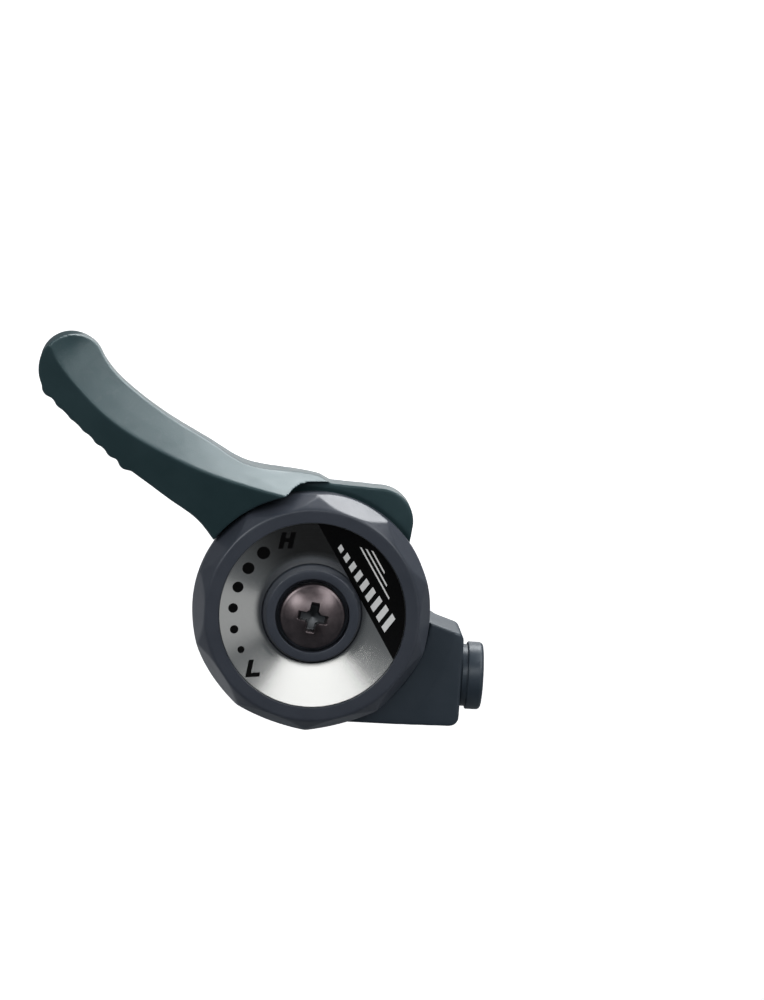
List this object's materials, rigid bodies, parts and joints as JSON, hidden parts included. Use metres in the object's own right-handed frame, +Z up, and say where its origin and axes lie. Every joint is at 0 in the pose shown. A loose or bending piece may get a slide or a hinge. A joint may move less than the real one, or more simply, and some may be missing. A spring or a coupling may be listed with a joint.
{
  "type": "thumb shifter",
  "caption": "Bar-mounted friction thumb shifter: curved thumb lever over a faceted dial cap, cable block with housing stop, and a band clamp for the handlebar.",
  "frame": {"origin": "on the handlebar axis under the lever pivot, at mid length of the clamp band", "axes": "+X along the handlebar towards the stem, +Y forward, +Z up along the lever pivot"},
  "size_m": [0.066, 0.0548, 0.0592],
  "materials": {
    "resin": "fine moulded grain, dark blue-grey",
    "dial_metal": "spun satin with dark printing",
    "black_steel": "black oxide",
    "zinc_steel": "zinc plated",
    "spring_steel": "blued spring steel",
    "slip_resin": "smooth natural resin",
    "friction_lining": "pressed fibre lining",
    "bush_metal": "turned"
  },
  "bodies": {
    "root": {"bracket": "resin", "clamp_band": "zinc_steel", "pivot_stud": "zinc_steel", "clamp_bolt": "zinc_steel", "clamp_washer": "zinc_steel", "clamp_nut": "zinc_steel", "cable_stop": "resin", "stop_plate": "zinc_steel", "lower_washer": "slip_resin", "pressure_plate": "zinc_steel", "lower_disc_spring": "spring_steel", "upper_disc_spring": "spring_steel", "dial_cap": "resin", "dial_plate": "dial_metal", "lock_washer": "spring_steel", "pivot_screw": "black_steel"},
    "lever": {"lever": "resin", "hub_bush": "bush_metal", "friction_washer": "friction_lining"}
  },
  "joints": [
    {"name": "lever_pivot", "type": "hinge", "parent": "root", "child": "lever", "pos_m": [0, 0, 0.021], "axis": [0, 0, 1], "range_deg": [-20, 95]}
  ]
}
